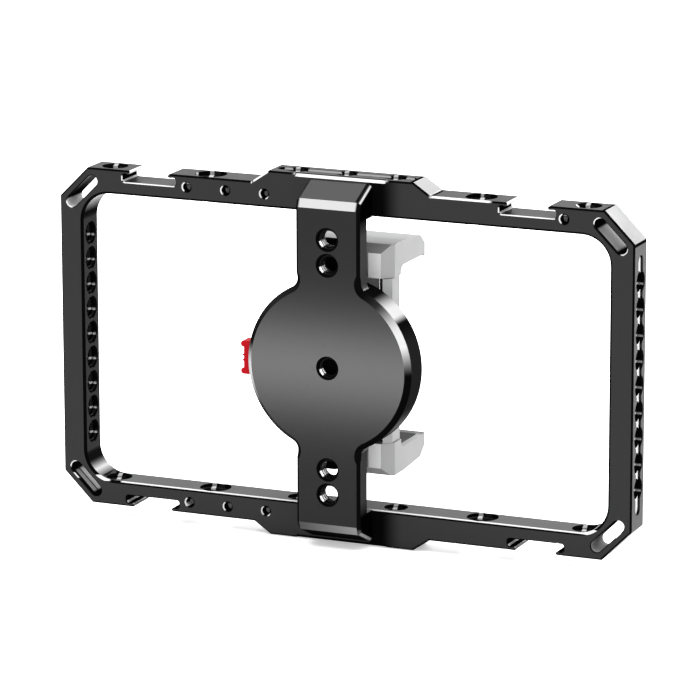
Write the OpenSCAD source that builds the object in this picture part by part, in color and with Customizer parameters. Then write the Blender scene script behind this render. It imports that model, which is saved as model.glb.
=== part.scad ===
// Phone cage: a one-piece frame round the phone, a bridge with a quick-release disc
// across its middle, and a sprung phone clamp that swivels in the disc.
// X runs along the cage, Y from the disc towards the phone, Z up.
// The origin is the middle of the lower hump's base face, half way through the rails.

/* [Frame] */
// Overall width of the frame
frame_w = 190.4; // [180:0.1:220]
// Height over the straight rails
frame_h = 107.9; // [107.5:0.1:125]
// Depth of the rails, front to back
frame_d = 11; // [11:0.1:14]
// Width of the left and right rails
side_rail = 7.8; // [7.4:0.1:9]
// Height of the upper and lower rails
cross_rail = 7.9; // [7.75:0.05:8.05]
// Radius of the window's corners
window_r = 9.2; // [8.6:0.1:9.6]
// Leg of the 45 degree cut at each outer corner
corner_cut = 9.6; // [9:0.1:10.4]
// Bevel along the outer edges, front and back
edge_bevel = 0.55; // [0.54:0.01:0.62]
// Bevel round the window, front and back
window_edge = 0.8; // [0.3:0.1:1]
// Wider bevel along the hump's front edge, over the bridge
hump_edge = 1.05; // [0.8:0.05:1.3]
// Length of that wider bevel
hump_edge_len = 30; // [22:1:40]

/* [Humps] */
// Rise of the hump in the middle of each long rail
hump_rise = 3.7; // [2:0.1:6]
// Width of the hump's flat face
hump_top_w = 48; // [47:1:60]
// Width of the hump where its slopes meet the rail
hump_base_w = 59; // [56:1:66]

/* [Grooves] */
// Width of the shallow grooves that link the rows of threads
groove_w = 3.9; // [2:0.1:5]
// Depth of the grooves
groove_depth = 0.8; // [0.3:0.1:1]
// Length of the groove on each hump
hump_groove_len = 45.8; // [40:0.1:46.5]
// Length of the groove on each side rail
side_groove_len = 80.4; // [70:0.1:84]

/* [Cold shoes] */
// Open gap between the lips
shoe_gap = 13; // [12.5:0.1:14]
// Width of the channel under the lips
shoe_channel = 18.3; // [18.1:0.1:19]
// Depth of the channel's floor below the rail's outer face
shoe_depth = 3.7; // [3.5:0.05:4]
// Thickness of the lips
shoe_lip = 1.15; // [1:0.05:1.3]
// Radius in the channel's corners
shoe_round = 0.9; // [0.3:0.05:1]
// Bevel round the channel's mouths, front and back
shoe_bevel = 0.3; // [0.1:0.05:0.4]
// Distance of a shoe's centre in from the frame's side
shoe_inset = 30.8; // [30.2:0.1:32.2]
// How much nearer the middle the upper right shoe lies
shoe_shift = 3.4; // [0:0.1:4]

/* [Threads] */
// Major diameter of the small accessory threads
small_thread_d = 6.35; // [6:0.05:6.5]
// Major diameter of the large accessory threads
large_thread_d = 9.525; // [9:0.025:9.6]
// Countersink at a thread's mouth
thread_sink = 0.55; // [0.2:0.05:0.6]
// Wider countersink of the threads next to the corners
corner_sink = 0.95; // [0.6:0.05:1.1]
// Countersink of the large threads
large_sink = 0.2; // [0.05:0.05:0.2]
// Pitch of the threads in the side rails
side_pitch = 8; // [7.8:0.1:9]
// Number of threads in each side rail
side_count = 9; // [3:2:9]
// Distance of the outermost rail threads in from the frame's side
corner_thread_inset = 16.7; // [16.2:0.1:17.2]
// Distance of the upper left large thread in from the frame's left side
left_thread_inset = 49.6; // [49.2:0.1:51.2]
// Distance of the upper right large thread in from the frame's right side
right_thread_inset = 51.1; // [50.2:0.1:52.2]
// Distance of the lower large threads in from the frame's sides
lower_thread_inset = 50.2; // [49.2:0.1:51.2]
// Distance of the hump's outer threads from the middle
hump_thread_x = 16.25; // [15.5:0.05:17.5]
// Diameter of the small blind holes in the front face
pin_hole_d = 2.8; // [2:0.1:3]
// Countersink of the blind holes
pin_hole_sink = 0.35; // [0.2:0.05:0.4]
// Depth of the blind holes
pin_hole_depth = 3; // [2:0.1:3.2]
// Distance of the blind holes above and below the middle
pin_hole_z = 50.3; // [49.9:0.1:50.6]
// Distance of the middle one of three blind holes in from the frame's left side
pin_row_inset = 56.8; // [56.2:0.1:57.2]
// Pitch of the row of blind holes
pin_pitch = 13.1; // [12.5:0.1:14]
// Distance of the single blind hole in from the frame's right side
lone_pin_inset = 22.45; // [22.2:0.05:22.7]

/* [Strap slots] */
// Width of the strap slot across each corner
slot_w = 3.7; // [3:0.1:3.8]
// Length between the centres of a slot's round ends
slot_run = 9.6; // [6:0.1:9.8]
// Bevel round the slot's mouths
slot_bevel = 0.3; // [0.1:0.05:0.4]

/* [Bridge] */
// Width of the bridge's strap
strap_w = 21.15; // [19:0.05:24]
// Thickness of the strap
strap_t = 5.9; // [5.5:0.1:8]
// Distance from the bridge's front face back to the frame
bridge_stand = 10.1; // [9.6:0.1:12]
// Bevel along the strap's front edges
strap_bevel = 0.95; // [0.3:0.05:1.2]
// How far the end's short upper bevel runs back
end_bevel_depth = 1.1; // [0.8:0.1:1.4]
// How far the end's short upper bevel runs along the strap
end_bevel_len = 2.6; // [1.5:0.1:2.8]
// How far the sloping end runs past the bevel
end_slope_len = 4.2; // [3:0.1:4.6]
// Height of the foot against the frame's face
foot_h = 10.15; // [9.5:0.05:10.25]
// Radius of the quick-release disc
disc_r = 27.1; // [26.5:0.1:29]
// Bevel round the disc's front face
disc_bevel = 1.7; // [0.8:0.1:2]
// Radius in the corners where the strap meets the disc
junction_r = 3; // [2:0.1:4]
// Pitch between the two threads near each end of the strap
bridge_pitch = 8; // [7.6:0.1:8.4]
// Distance of the inner of them from the disc's centre
bridge_thread_z = 32; // [31.6:0.1:33]

/* [Quick release] */
// Radius of the swivel's spigot
spigot_r = 13; // [12.5:0.1:13.2]
// Depth of the socket in the disc
socket_depth = 5.6; // [5.5:0.1:6]
// Running clearance round the spigot
spigot_fit = 0.05; // [0.03:0.01:0.08]
// Depth of the spigot's latch groove
spigot_groove = 1.6; // [1.5:0.1:1.8]
// Thickness of the ring-shaped latch plate
latch_t = 1.8; // [1.4:0.1:1.9]
// Width of the latch plate's ring
latch_band = 2.6; // [2:0.1:2.7]
// Travel of the red release button
button_travel = 1.9; // [1.9:0.1:2.1]
// Height of the red button
button_h = 10.6; // [9:0.1:11]
// Thickness of the red button, front to back
button_t = 4.2; // [3.6:0.1:4.4]
// How far the button stands out of the disc's rim
button_out = 3.4; // [3:0.1:4]
// Thickness of the plate that covers the socket
cover_t = 2.3; // [2:0.1:2.4]
// Radius of the cover plate
cover_r = 22; // [21.6:0.1:22.4]
// Radius of the swivel's flange
flange_r = 18; // [17:0.1:20]
// Thickness of the swivel's flange
flange_t = 3.5; // [3:0.1:4]
// Thickness of the slip washer
washer_t = 0.5; // [0.3:0.05:0.6]

/* [Phone clamp] */
// Width of the jaws
jaw_w = 30.1; // [29.8:0.1:34]
// Height of a jaw's body
jaw_h = 10.4; // [9:0.1:10.5]
// Depth of a jaw's body, front to back
jaw_d = 8.3; // [8:0.1:9.5]
// Leg of the facets on a jaw's front corners
jaw_facet = 3.3; // [2.5:0.1:3.4]
// Bevel along a jaw's outer front edge
jaw_brow = 2.6; // [1.5:0.1:3]
// How far a grip face lies beyond the jaw's inner end
grip_step = 2.7; // [2.2:0.1:3.2]
// Reach of the arms behind the jaw's body
arm_reach = 19.2; // [15:0.1:22]
// Thickness of an arm's tip
tip_t = 3.5; // [3:0.1:4]
// Height of the lip at an arm's tip
lip_h = 0.6; // [0.3:0.1:1]
// Half the height of the clamp's housing
housing_half = 25.9; // [25.5:0.1:26.2]
// Travel of each jaw
jaw_travel = 9.3; // [8:0.1:9.3]
// Radius of the guide rods
rod_r = 1.4; // [1.2:0.05:1.45]
// Thickness of the rubber pads
pad_t = 1.2; // [1:0.1:1.5]

/* [Hidden] */
$fn = 64;

// Overrun of every cut past the face that it opens
over = 1;
// Clearance round pieces that slide or drop in
slip = 0.1;
// Clearance round pins and screws in their holes
pin_slip = 0.02;

// Places that follow from the frame
half_w = frame_w / 2;
half_h = frame_h / 2;
hump_z = half_h + hump_rise;
front_y = -frame_d / 2;
back_y = frame_d / 2;
window_x = half_w - side_rail;
window_z = half_h - cross_rail;
face_y = front_y - bridge_stand;

// Places of the cold shoes
shoe_floor_z = half_h - shoe_depth;
shoe_corner_zs = [shoe_floor_z + shoe_round, half_h - shoe_lip - shoe_round];
upper_shoe_xs = [-half_w + shoe_inset, half_w - shoe_inset - shoe_shift];
lower_shoe_xs = [-half_w + shoe_inset, half_w - shoe_inset];

// Screws that hold the bridge to the frame
bridge_screw_r = 1.5;
bridge_screw_head_r = 2.9;
bridge_screw_x = 6.6;
bridge_screw_z = window_z + 3.85;
bridge_screw_bite = 5.4;

// Quick-release pieces, measured forward from the disc's back face
socket_r = spigot_r + spigot_fit;
groove_r = spigot_r - spigot_groove;
latch_gap = 0.1;
latch_y = front_y - cover_t - latch_gap - latch_t / 2;
latch_inner_r = spigot_r + 0.6;
latch_outer_r = latch_inner_r + latch_band;
latch_wall = 0.3;
latch_tail_out = 0.6;
latch_tail_w = 11;
tongue_w = 7;
button_in = 6.5;
button_y = front_y - cover_t - latch_gap - button_t / 2;
button_inner_x = -disc_r + button_in;
latch_pin_r = 0.8;
latch_pin_z = 2;
latch_pin_x = -disc_r + 3.6;
latch_spring_z = 3.4;
latch_spring_len = 5.5;
latch_spring_r = 0.65;
latch_wire_r = 0.15;
latch_spring_turns = 7;
cover_screw_r = 1;
cover_screw_head_r = 1.9;
cover_screw_at = 19.4;
cover_screw_len = 6.5;
washer_play = 0.05;
washer_inner_r = 13.6;
washer_outer_r = 17.4;
spigot_end_gap = 0.2;
groove_play = 0.2;

// Phone clamp, measured back from the disc's back face
flange_y = front_y + washer_play + washer_t + washer_play;
housing_y = flange_y + flange_t;
housing_back_y = housing_y + jaw_d - 0.1;
jaw_front_y = housing_y - 0.1;
jaw_back_y = jaw_front_y + jaw_d;
housing_w = jaw_w - 0.9;
cheek_t = 2.3;
cheek_bevel = 2.3;
block_half = 17;
web_t = 2.2;
jaw_seat = 0.15;
jaw_in = housing_half + jaw_seat;
jaw_out = jaw_in + jaw_h;
grip_z = jaw_in + grip_step;
tip_y = jaw_back_y + arm_reach;
lobe_w = 10.75;
rod_y = jaw_front_y + 4.5;
upper_rod_x = 10.6;
lower_rod_x = 5.4;
rod_bite = 7;
rod_fit = 0.05;
guide_t = 4;
spring_bore_r = 2.2;
rod_end = 14;
clip_t = 1.2;
clip_r = 2;
jaw_spring_r = 1.75;
jaw_wire_r = 0.2;
jaw_spring_turns = 9;
grip_fillet = 2.2;
pad_recess = 0.8;
pad_margin = 2;
back_pad_w = 26;
back_pad_h = 46;
housing_screw_r = 1.25;
housing_screw_head_r = 2.3;
housing_screw_z = 9;
housing_screw_bite = 5.5;

// Everything is drawn about the middle of the window, then raised onto its base
module raised() {
    translate([0, 0, hump_z]) children();
}

// A flat shape in X and Z given thickness from y_from to y_to
module slab(y_from, y_to) {
    translate([0, y_to, 0]) rotate([90, 0, 0]) linear_extrude(y_to - y_from) children();
}

// A flat shape in Y and Z stretched along X, centred on the middle
module along_x(width) {
    translate([-width / 2, 0, 0]) rotate([90, 0, 90]) linear_extrude(width) children();
}

// A cylinder whose axis runs along Y
module y_rod(r, y_from, y_to) {
    translate([0, y_to, 0]) rotate([90, 0, 0]) cylinder(h = y_to - y_from, r = r);
}

// A thread's plain bore along Z with both mouths countersunk; a sink is as wide as it says
// and shallower by the share below
sink_share = 0.7;
module sunk_bore(d, length, sink) {
    deep = sink * sink_share;
    wide = (deep + over) / sink_share;
    translate([0, 0, -over]) cylinder(h = length + 2 * over, d = d);
    translate([0, 0, -over]) cylinder(h = deep + over, r1 = d / 2 + wide, r2 = d / 2);
    translate([0, 0, length - deep]) cylinder(h = deep + over, r1 = d / 2, r2 = d / 2 + wide);
}

// A hole along Y that opens at y_mouth towards the front
module front_hole(d, y_mouth, depth, sink) {
    y_rod(d / 2, y_mouth - over, y_mouth + depth);
    translate([0, y_mouth + sink, 0]) rotate([90, 0, 0]) {
        cylinder(h = sink + over, r1 = d / 2, r2 = d / 2 + sink + over);
    }
}

// A flat-headed screw along Y, its head's face at y_head, its point towards the front
module flat_screw(r, head_r, y_head, y_tip) {
    head_h = head_r - r;
    y_rod(r, y_tip, y_head);
    translate([0, y_head, 0]) rotate([90, 0, 0]) cylinder(h = head_h, r1 = head_r, r2 = r);
}

// The seat of a flat-headed screw, to be cut from what it holds
module screw_seat(r, head_r, y_head, y_tip) {
    flat_screw(r + pin_slip, head_r + pin_slip, y_head, y_tip);
    y_rod(head_r + pin_slip, y_head, y_head + over);
}

// A square drive pocket in a screw's head, as a hexagon
module drive_pocket(r, y_head, depth) {
    translate([0, y_head + over, 0]) rotate([90, 0, 0]) {
        cylinder(h = depth + over, r = r, $fn = 6);
    }
}

// One straight 45 degree bevel cut along the edge from p to q, which lie in X and Z
module bevel_run(p, q, y, size, start_past, end_past) {
    run = norm(q - p);
    turn = atan2(q[1] - p[1], q[0] - p[0]);
    side = size * sqrt(2);
    translate([p[0], y, p[1]]) rotate([0, -turn, 0]) translate([-start_past, 0, 0]) {
        rotate([45, 0, 0]) translate([0, -side / 2, -side / 2]) {
            cube([run + start_past + end_past, side, side]);
        }
    }
}

// Bevels along every edge of an outline; each runs past its corners, so that they meet there
module bevel_outline(pts, y, size) {
    for (i = [0 : len(pts) - 1]) {
        bevel_run(pts[i], pts[(i + 1) % len(pts)], y, size, size, size);
    }
}

// The frame's outer outline, anticlockwise
frame_outline = [
    [half_w, -half_h + corner_cut],
    [half_w, half_h - corner_cut],
    [half_w - corner_cut, half_h],
    [hump_base_w / 2, half_h],
    [hump_top_w / 2, hump_z],
    [-hump_top_w / 2, hump_z],
    [-hump_base_w / 2, half_h],
    [-half_w + corner_cut, half_h],
    [-half_w, half_h - corner_cut],
    [-half_w, -half_h + corner_cut],
    [-half_w + corner_cut, -half_h],
    [-hump_base_w / 2, -half_h],
    [-hump_top_w / 2, -hump_z],
    [hump_top_w / 2, -hump_z],
    [hump_base_w / 2, -half_h],
    [half_w - corner_cut, -half_h]
];

module window_shape() {
    square([2 * window_x - 2 * window_r, 2 * window_z], center = true);
    square([2 * window_x, 2 * window_z - 2 * window_r], center = true);
    for (sx = [-1, 1], sz = [-1, 1]) {
        translate([sx * (window_x - window_r), sz * (window_z - window_r)]) circle(window_r);
    }
}

// The window's edge bevel at one face: four runs and four quarter rings
module window_bevel(y) {
    side = window_edge * sqrt(2);
    for (s = [-1, 1]) {
        bevel_run(
            [-window_x + window_r, s * window_z], [window_x - window_r, s * window_z],
            y, window_edge, 0, 0
        );
        bevel_run(
            [s * window_x, -window_z + window_r], [s * window_x, window_z - window_r],
            y, window_edge, 0, 0
        );
    }
    for (sx = [-1, 1], sz = [-1, 1]) {
        quarter = sx > 0 ? (sz > 0 ? 0 : 270) : (sz > 0 ? 90 : 180);
        translate([sx * (window_x - window_r), y, sz * (window_z - window_r)]) {
            rotate([90, 0, 0]) rotate([0, 0, quarter]) rotate_extrude(angle = 90) {
                translate([window_r, 0]) rotate(45) square(side, center = true);
            }
        }
    }
}

// The T-shaped channel of one cold shoe, with round corners and round lip tips
module shoe_shape(x) {
    lip_r = shoe_lip / 2;
    channel_h = shoe_depth - shoe_lip;
    translate([x, 0]) difference() {
        union() {
            translate([-shoe_channel / 2, shoe_floor_z + shoe_round]) {
                square([shoe_channel, channel_h - 2 * shoe_round]);
            }
            translate([-shoe_channel / 2 + shoe_round, shoe_floor_z]) {
                square([shoe_channel - 2 * shoe_round, channel_h]);
            }
            for (s = [-1, 1], z = shoe_corner_zs) {
                translate([s * (shoe_channel / 2 - shoe_round), z]) circle(shoe_round);
            }
            translate([-shoe_gap / 2 - lip_r, shoe_floor_z]) {
                square([shoe_gap + shoe_lip, shoe_depth + over]);
            }
        }
        for (s = [-1, 1]) {
            translate([s * (shoe_gap / 2 + lip_r), half_h - lip_r]) circle(lip_r);
        }
    }
}

// Bevels round the mouths of one channel, along its floor, corners and ends
module shoe_mouths(x) {
    corner_x = shoe_channel / 2 - shoe_round;
    for (m = [-1, 1]) {
        bevel_run(
            [x - corner_x, shoe_floor_z], [x + corner_x, shoe_floor_z],
            m * back_y, shoe_bevel, 0, 0
        );
        for (s = [-1, 1]) {
            bevel_run(
                [x + s * shoe_channel / 2, shoe_corner_zs[0]],
                [x + s * shoe_channel / 2, shoe_corner_zs[1]],
                m * back_y, shoe_bevel, 0, 0
            );
            for (z = shoe_corner_zs) {
                translate([x + s * corner_x, m * (back_y - shoe_bevel), z]) {
                    rotate([-m * 90, 0, 0]) cylinder(
                        h = shoe_bevel + over, r1 = shoe_round,
                        r2 = shoe_round + shoe_bevel + over
                    );
                }
            }
        }
    }
}

module shoe_channels() {
    for (z_side = [0, 1], x = z_side == 0 ? upper_shoe_xs : lower_shoe_xs) {
        mirror([0, 0, z_side]) {
            slab(front_y - over, back_y + over) shoe_shape(x);
            shoe_mouths(x);
        }
    }
}

// Half way between the corner cut and the window's round corner
slot_inset = (norm([corner_cut, corner_cut]) / 2 + norm([side_rail + window_r,
    cross_rail + window_r]) - window_r) / 2;
slot_at = slot_inset / sqrt(2);

// One strap slot lying at 45 degrees across an outer corner, with bevelled mouths
module strap_slot() {
    r = slot_w / 2;
    for (s = [-1, 1]) {
        translate([s * slot_run / 2, 0, 0]) {
            y_rod(r, front_y - over, back_y + over);
            for (m = [-1, 1]) {
                translate([0, m * (frame_d / 2 - slot_bevel), 0]) rotate([-m * 90, 0, 0]) {
                    cylinder(h = slot_bevel + over, r1 = r, r2 = r + slot_bevel + over);
                }
            }
        }
    }
    slab(front_y - over, back_y + over) square([slot_run, slot_w], center = true);
    for (m = [-1, 1]) {
        along_x(slot_run) polygon([
            [m * (frame_d / 2 - slot_bevel), -r],
            [m * (frame_d / 2 + over), -r - slot_bevel - over],
            [m * (frame_d / 2 + over), r + slot_bevel + over],
            [m * (frame_d / 2 - slot_bevel), r]
        ]);
    }
}

module strap_slots() {
    for (sx = [-1, 1], sz = [-1, 1]) {
        translate([sx * (half_w - slot_at), 0, sz * (half_h - slot_at)]) {
            rotate([0, sx * sz * 45, 0]) strap_slot();
        }
    }
}

// A shallow groove with round ends, running along X on the face at z = 0
module groove(length) {
    run = length - groove_w;
    translate([0, 0, -groove_depth]) linear_extrude(groove_depth + over) {
        square([run, groove_w], center = true);
        for (s = [-1, 1]) {
            translate([s * run / 2, 0]) circle(d = groove_w);
        }
    }
}

module side_threads() {
    for (s = [-1, 1]) {
        for (i = [0 : side_count - 1]) {
            z = (i - (side_count - 1) / 2) * side_pitch;
            translate([s * window_x, 0, z]) rotate([0, s * 90, 0]) {
                sunk_bore(small_thread_d, side_rail, thread_sink);
            }
        }
        translate([s * half_w, 0, 0]) rotate([0, s * 90, 0]) groove(side_groove_len);
    }
}

// Threads up and down through the long rails; z_side is 1 for the upper rail
module rail_threads(z_side, large_xs) {
    mirror([0, 0, z_side > 0 ? 0 : 1]) {
        for (s = [-1, 1]) {
            translate([s * (half_w - corner_thread_inset), 0, window_z]) {
                sunk_bore(small_thread_d, cross_rail, corner_sink);
            }
        }
        for (x = large_xs) {
            translate([x, 0, window_z]) sunk_bore(large_thread_d, cross_rail, large_sink);
        }
        for (i = [-1 : 1]) {
            translate([i * hump_thread_x, 0, window_z]) {
                sunk_bore(small_thread_d, cross_rail + hump_rise, thread_sink);
            }
        }
        translate([0, 0, hump_z]) groove(hump_groove_len);
    }
}

// A blind hole in the front face, with the cone that a drill leaves
drill_share = 0.6;
module pin_hole(x, z) {
    translate([x, 0, z]) {
        front_hole(pin_hole_d, front_y, pin_hole_depth, pin_hole_sink);
        translate([0, front_y + pin_hole_depth, 0]) rotate([-90, 0, 0]) {
            cylinder(h = pin_hole_d / 2 * drill_share, r1 = pin_hole_d / 2, r2 = 0);
        }
    }
}

module pin_holes() {
    for (sz = [-1, 1], i = [-1 : 1]) {
        pin_hole(-half_w + pin_row_inset + i * pin_pitch, sz * pin_hole_z);
    }
    pin_hole(half_w - lone_pin_inset, pin_hole_z);
}

module at_bridge_screws() {
    for (sx = [-1, 1], sz = [-1, 1]) {
        translate([sx * bridge_screw_x, 0, sz * bridge_screw_z]) children();
    }
}

module cage_frame() {
    color([0.13, 0.13, 0.14]) raised() difference() {
        slab(front_y, back_y) difference() {
            polygon(frame_outline);
            window_shape();
        }
        for (y = [front_y, back_y]) {
            bevel_outline(frame_outline, y, edge_bevel);
            window_bevel(y);
        }
        for (s = [-1, 1]) {
            bevel_run(
                [-hump_edge_len / 2, s * hump_z], [hump_edge_len / 2, s * hump_z],
                front_y, hump_edge, 0, 0
            );
        }
        shoe_channels();
        strap_slots();
        side_threads();
        rail_threads(1, [-half_w + left_thread_inset, half_w - right_thread_inset]);
        rail_threads(-1, [-half_w + lower_thread_inset, half_w - lower_thread_inset]);
        pin_holes();
        at_bridge_screws() {
            screw_seat(bridge_screw_r, bridge_screw_head_r, back_y - slip, front_y - over);
        }
    }
}

// The strap's outline from the side, in Y and Z, symmetric about its middle
strap_front_z = window_z + foot_h - end_slope_len - end_bevel_len;
strap_side = [
    [face_y, strap_front_z],
    [face_y + end_bevel_depth, strap_front_z + end_bevel_len],
    [front_y, window_z + foot_h],
    [front_y, window_z],
    [face_y + strap_t, window_z]
];

module strap_side_shape() {
    polygon(concat(
        strap_side,
        [for (i = [len(strap_side) - 1 : -1 : 0]) [strap_side[i][0], -strap_side[i][1]]]
    ));
}

module strap_body() {
    intersection() {
        along_x(strap_w) strap_side_shape();
        translate([0, 0, -hump_z]) linear_extrude(2 * hump_z) polygon([
            [-strap_w / 2 + strap_bevel, face_y],
            [strap_w / 2 - strap_bevel, face_y],
            [strap_w / 2, face_y + strap_bevel],
            [strap_w / 2, front_y],
            [-strap_w / 2, front_y],
            [-strap_w / 2, face_y + strap_bevel]
        ]);
    }
}

// Bevels down both sides of each sloping end
module strap_edges() {
    ridge = [face_y + end_bevel_depth, strap_front_z + end_bevel_len];
    for (sx = [-1, 1], sz = [0, 1]) {
        mirror([0, 0, sz]) rotate([0, 0, 90]) {
            bevel_run([face_y, strap_front_z], ridge, sx * strap_w / 2, strap_bevel, 0, 0);
            bevel_run(
                ridge, [front_y, window_z + foot_h], sx * strap_w / 2, strap_bevel, 0, over
            );
        }
    }
}

// The disc as a turned piece: radius along X, depth behind the front face along Y
module disc_body() {
    translate([0, face_y, 0]) rotate([-90, 0, 0]) rotate_extrude() polygon([
        [0, 0],
        [disc_r - disc_bevel, 0],
        [disc_r, disc_bevel],
        [disc_r, bridge_stand],
        [0, bridge_stand]
    ]);
}

// Centres of the hollow corners where strap and disc meet
junction_x = strap_w / 2 + junction_r;
junction_z = sqrt(pow(disc_r + junction_r, 2) - pow(junction_x, 2));

// What fills those four corners
module junctions() {
    share = disc_r / (disc_r + junction_r);
    for (sx = [-1, 1], sz = [-1, 1]) {
        slab(face_y, face_y + strap_t) difference() {
            polygon([
                [0, 0],
                [0, sz * junction_z],
                [sx * junction_x, sz * junction_z],
                [sx * junction_x * share, sz * junction_z * share]
            ]);
            translate([sx * junction_x, sz * junction_z]) circle(junction_r);
        }
    }
}

// The disc's bevel carried round the hollow corners, until it runs out in the strap's edge
module junction_bevels() {
    for (sx = [-1, 1], sz = [-1, 1]) {
        translate([sx * junction_x, face_y - over, sz * junction_z]) rotate([-90, 0, 0]) {
            cylinder(
                h = disc_bevel + 2 * over, r1 = junction_r + disc_bevel + over,
                r2 = junction_r - over
            );
        }
    }
}

// The room in which the latch ring slides, its tail and its springs included
module latch_room() {
    wall_r = latch_outer_r + latch_wall;
    tail_x = latch_outer_r + latch_tail_out + latch_wall;
    spring_end = latch_outer_r + latch_tail_out - button_travel + latch_spring_len;
    y_from = front_y - cover_t - 2 * latch_gap - latch_t;
    slab(y_from, front_y) {
        circle(wall_r);
        translate([-button_travel, 0]) circle(wall_r);
        translate([-button_travel, -wall_r]) square([button_travel, 2 * wall_r]);
        translate([0, -latch_tail_w / 2 - latch_wall]) {
            square([tail_x, latch_tail_w + 2 * latch_wall]);
        }
        translate([-cover_r + over, -tongue_w / 2 - latch_wall]) {
            square([cover_r, tongue_w + 2 * latch_wall]);
        }
    }
    for (s = [-1, 1]) {
        translate([0, latch_y, s * latch_spring_z]) rotate([0, 90, 0]) {
            cylinder(h = spring_end, r = latch_t / 2 + latch_gap);
        }
    }
    translate([-disc_r - over, button_y - button_t / 2 - slip, -button_h / 2 - slip]) {
        cube([button_in + over + slip + button_travel, button_t + slip + latch_gap,
            button_h + 2 * slip]);
    }
}

module bridge_threads() {
    for (sz = [-1, 1], i = [0, 1]) {
        translate([0, 0, sz * (bridge_thread_z + i * bridge_pitch)]) {
            front_hole(small_thread_d, face_y, strap_t + over, thread_sink);
        }
    }
    front_hole(small_thread_d, face_y, bridge_stand - socket_depth + over, thread_sink);
}

module at_cover_screws() {
    for (turn = [45 : 90 : 315]) {
        rotate([0, turn, 0]) translate([cover_screw_at, 0, 0]) children();
    }
}

module bridge() {
    color([0.12, 0.12, 0.13]) raised() difference() {
        union() {
            difference() {
                union() {
                    strap_body();
                    junctions();
                }
                strap_edges();
                junction_bevels();
            }
            disc_body();
        }
        y_rod(socket_r, front_y - socket_depth, front_y + over);
        y_rod(cover_r + slip, front_y - cover_t, front_y + over);
        latch_room();
        bridge_threads();
        at_cover_screws() {
            y_rod(cover_screw_r + pin_slip, front_y - cover_screw_len - slip, front_y);
        }
        at_bridge_screws() {
            y_rod(bridge_screw_r + pin_slip, front_y - bridge_screw_bite - slip, front_y + over);
        }
    }
}

module bridge_screws() {
    color([0.2, 0.2, 0.21]) raised() at_bridge_screws() difference() {
        flat_screw(
            bridge_screw_r, bridge_screw_head_r, back_y - slip, front_y - bridge_screw_bite
        );
        drive_pocket(bridge_screw_r * 0.75, back_y - slip, bridge_screw_r);
    }
}

module socket_cover() {
    color([0.16, 0.16, 0.17]) raised() difference() {
        y_rod(cover_r, front_y - cover_t, front_y);
        y_rod(socket_r, front_y - cover_t - over, front_y + over);
        at_cover_screws() {
            screw_seat(
                cover_screw_r, cover_screw_head_r, front_y - slip, front_y - cover_screw_len
            );
        }
    }
}

module cover_screws() {
    color([0.3, 0.3, 0.31]) raised() at_cover_screws() difference() {
        flat_screw(
            cover_screw_r, cover_screw_head_r, front_y - slip, front_y - cover_screw_len
        );
        drive_pocket(cover_screw_r * 0.75, front_y - slip, cover_screw_r * 0.8);
    }
}

module swivel_washer() {
    color([0.85, 0.85, 0.82]) raised() difference() {
        y_rod(washer_outer_r, front_y, front_y + washer_t);
        y_rod(washer_inner_r, front_y - over, front_y + washer_t + over);
    }
}

// The red button: a thumb pad with a round ridge at each end and two fine ribs between
module release_button() {
    ridge_r = button_out * 0.3;
    rib_r = button_out * 0.12;
    outer_x = -disc_r - button_out;
    pad_x = outer_x + ridge_r;
    color([0.78, 0.06, 0.09]) raised() difference() {
        slab(button_y - button_t / 2, button_y + button_t / 2) {
            translate([pad_x, -button_h / 2]) {
                square([button_inner_x - pad_x, button_h]);
            }
            for (s = [-1, 1]) {
                translate([pad_x, s * (button_h / 2 - ridge_r)]) circle(ridge_r);
                translate([pad_x, s * rib_r * 2]) circle(rib_r);
            }
        }
        translate([latch_pin_x - 2 * latch_pin_r, latch_y - latch_t / 2 - pin_slip,
            -tongue_w / 2 - slip]) {
            cube([button_in, latch_t + button_t, tongue_w + 2 * slip]);
        }
        for (s = [-1, 1]) {
            translate([latch_pin_x, 0, s * latch_pin_z]) {
                y_rod(latch_pin_r + pin_slip, front_y - bridge_stand, front_y);
            }
        }
    }
}

// The ring round the spigot at rest: its far side lies in the spigot's groove
module latch_ring() {
    color([0.75, 0.75, 0.76]) raised() translate([-button_travel, 0, 0]) difference() {
        slab(latch_y - latch_t / 2, latch_y + latch_t / 2) difference() {
            union() {
                circle(latch_outer_r);
                translate([0, -latch_tail_w / 2]) {
                    square([latch_outer_r + latch_tail_out, latch_tail_w]);
                }
                translate([latch_pin_x + button_travel - 1.5 * latch_pin_r, -tongue_w / 2]) {
                    square([latch_outer_r, tongue_w]);
                }
            }
            circle(latch_inner_r);
        }
        for (s = [-1, 1]) {
            translate([latch_pin_x + button_travel, 0, s * latch_pin_z]) {
                y_rod(latch_pin_r + pin_slip, front_y - bridge_stand, front_y);
            }
        }
    }
}

module latch_pins() {
    color([0.6, 0.6, 0.6]) raised() for (s = [-1, 1]) {
        translate([latch_pin_x, 0, s * latch_pin_z]) {
            y_rod(latch_pin_r, button_y - button_t / 2, latch_y + latch_t / 2);
        }
    }
}

// Points of one round section of a coil, and the faces that join the sections
coil_sides = 6;
rings_per_turn = 10;
function coil_point(r, wire, length, turns, k, j) = let (
    n = turns * rings_per_turn,
    a = 360 * k / rings_per_turn,
    b = 360 * j / coil_sides,
    rr = r + wire * cos(b)
) [rr * cos(a), rr * sin(a), wire + (length - 2 * wire) * k / n + wire * sin(b)];

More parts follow.
